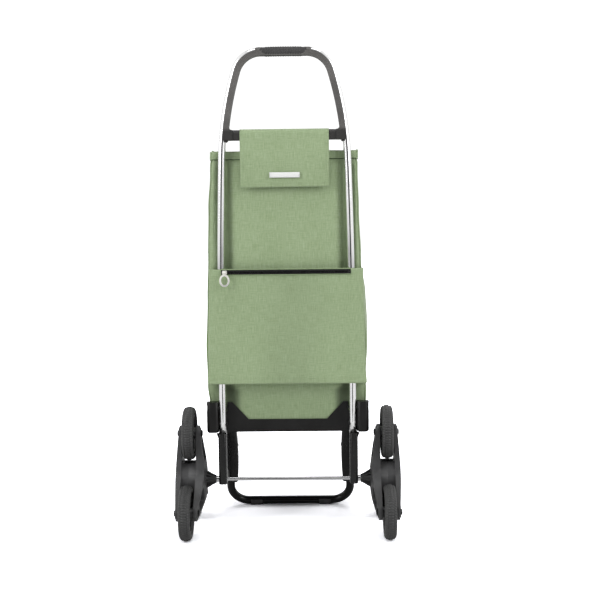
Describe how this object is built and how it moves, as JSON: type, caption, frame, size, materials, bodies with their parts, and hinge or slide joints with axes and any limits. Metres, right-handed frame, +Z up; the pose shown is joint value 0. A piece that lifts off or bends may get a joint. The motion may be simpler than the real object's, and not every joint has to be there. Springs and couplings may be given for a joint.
{
  "type": "shopping trolley",
  "caption": "Upright wheeled shopping trolley with a hoop handle, fabric bag on a folding tray, and a three-armed star of wheels on each side for climbing stairs.",
  "frame": {"origin": "on the floor, under the middle of the trolley's outer box", "axes": "+Z up; +Y forward, from the user towards the bag; +X to the user's right"},
  "size_m": [0.486, 0.3833, 1.0362],
  "materials": {
    "polished_tube": "polished",
    "handle_plastic": "satin",
    "grip_rubber": "matt",
    "bright_steel": "bright",
    "black_plastic": "satin",
    "black_tube": "gloss",
    "pad_rubber": "matt",
    "tray_plastic": "satin",
    "board": "matt",
    "bag_fabric": "woven, mottled green",
    "zip_tape": "woven",
    "zip_metal": "bright",
    "star_plastic": "satin",
    "bush_plastic": "smooth",
    "tyre_rubber": "matt",
    "rim_plastic": "satin"
  },
  "bodies": {
    "frame": {"frame_tube": "polished_tube", "handle_arch": "handle_plastic", "handle_grip": "grip_rubber", "handle_screws": "bright_steel", "leg_right": "black_plastic", "leg_left": "black_plastic", "leg_rivets": "bright_steel", "foot_tube": "black_tube", "foot_rivets": "bright_steel", "foot_pads": "pad_rubber", "axle": "bright_steel", "axle_spacers": "bright_steel", "axle_caps": "bright_steel", "tray_pins": "bright_steel", "bag_body": "bag_fabric", "rear_pocket": "bag_fabric", "zip_tape": "zip_tape", "bar_wrap": "bag_fabric"},
    "tray": {"tray": "tray_plastic", "base_board": "board"},
    "lid": {"lid": "bag_fabric"},
    "flap": {"flap": "bag_fabric"},
    "zip_slider": {"zip_slider": "zip_metal"},
    "zip_pull": {"zip_pull": "zip_metal"},
    "star_right": {"star_outer_right": "star_plastic", "star_inner_right": "star_plastic", "star_bush_right": "bush_plastic", "star_pins_right": "bright_steel", "star_screws_right": "bright_steel"},
    "wheel_right_top": {"tyre_right_top": "tyre_rubber", "rim_right_top": "rim_plastic", "wheel_bush_right_top": "bush_plastic"},
    "wheel_right_rear": {"tyre_right_rear": "tyre_rubber", "rim_right_rear": "rim_plastic", "wheel_bush_right_rear": "bush_plastic"},
    "wheel_right_front": {"tyre_right_front": "tyre_rubber", "rim_right_front": "rim_plastic", "wheel_bush_right_front": "bush_plastic"},
    "star_left": {"star_outer_left": "star_plastic", "star_inner_left": "star_plastic", "star_bush_left": "bush_plastic", "star_pins_left": "bright_steel", "star_screws_left": "bright_steel"},
    "wheel_left_top": {"tyre_left_top": "tyre_rubber", "rim_left_top": "rim_plastic", "wheel_bush_left_top": "bush_plastic"},
    "wheel_left_rear": {"tyre_left_rear": "tyre_rubber", "rim_left_rear": "rim_plastic", "wheel_bush_left_rear": "bush_plastic"},
    "wheel_left_front": {"tyre_left_front": "tyre_rubber", "rim_left_front": "rim_plastic", "wheel_bush_left_front": "bush_plastic"}
  },
  "joints": [
    {"name": "tray_fold", "type": "hinge", "parent": "frame", "child": "tray", "pos_m": [0, -0.04533, 0.266], "axis": [1, 0, 0], "range_deg": [0, 90], "deforming": ["bag_body"]},
    {"name": "lid_lift", "type": "hinge", "parent": "frame", "child": "lid", "pos_m": [0, -0.03033, 0.821], "axis": [1, 0, 0], "range_deg": [0, 88]},
    {"name": "flap_lift", "type": "hinge", "parent": "frame", "child": "flap", "pos_m": [0, -0.05573, 0.855], "axis": [-1, 0, 0], "range_deg": [0, 110]},
    {"name": "zip_run", "type": "slide", "parent": "frame", "child": "zip_slider", "axis": [1, 0, 0], "range_m": [0, 0.255]},
    {"name": "zip_pull_swing", "type": "hinge", "parent": "zip_slider", "child": "zip_pull", "pos_m": [-0.131, -0.06493, 0.561], "axis": [-1, 0, 0], "range_deg": [0, 150]},
    {"name": "star_turn_right", "type": "hinge", "parent": "frame", "child": "star_right", "pos_m": [0.2143, -0.04533, 0.109], "axis": [1, 0, 0], "continuous": true},
    {"name": "wheel_turn_right_top", "type": "hinge", "parent": "star_right", "child": "wheel_right_top", "pos_m": [0.2143, -0.04533, 0.211], "axis": [1, 0, 0], "continuous": true},
    {"name": "wheel_turn_right_rear", "type": "hinge", "parent": "star_right", "child": "wheel_right_rear", "pos_m": [0.2143, -0.13367, 0.058], "axis": [1, 0, 0], "continuous": true},
    {"name": "wheel_turn_right_front", "type": "hinge", "parent": "star_right", "child": "wheel_right_front", "pos_m": [0.2143, 0.043, 0.058], "axis": [1, 0, 0], "continuous": true},
    {"name": "star_turn_left", "type": "hinge", "parent": "frame", "child": "star_left", "pos_m": [-0.2143, -0.04533, 0.109], "axis": [1, 0, 0], "continuous": true},
    {"name": "wheel_turn_left_top", "type": "hinge", "parent": "star_left", "child": "wheel_left_top", "pos_m": [-0.2143, -0.04533, 0.211], "axis": [1, 0, 0], "continuous": true},
    {"name": "wheel_turn_left_rear", "type": "hinge", "parent": "star_left", "child": "wheel_left_rear", "pos_m": [-0.2143, -0.13367, 0.058], "axis": [1, 0, 0], "continuous": true},
    {"name": "wheel_turn_left_front", "type": "hinge", "parent": "star_left", "child": "wheel_left_front", "pos_m": [-0.2143, 0.043, 0.058], "axis": [1, 0, 0], "continuous": true}
  ]
}
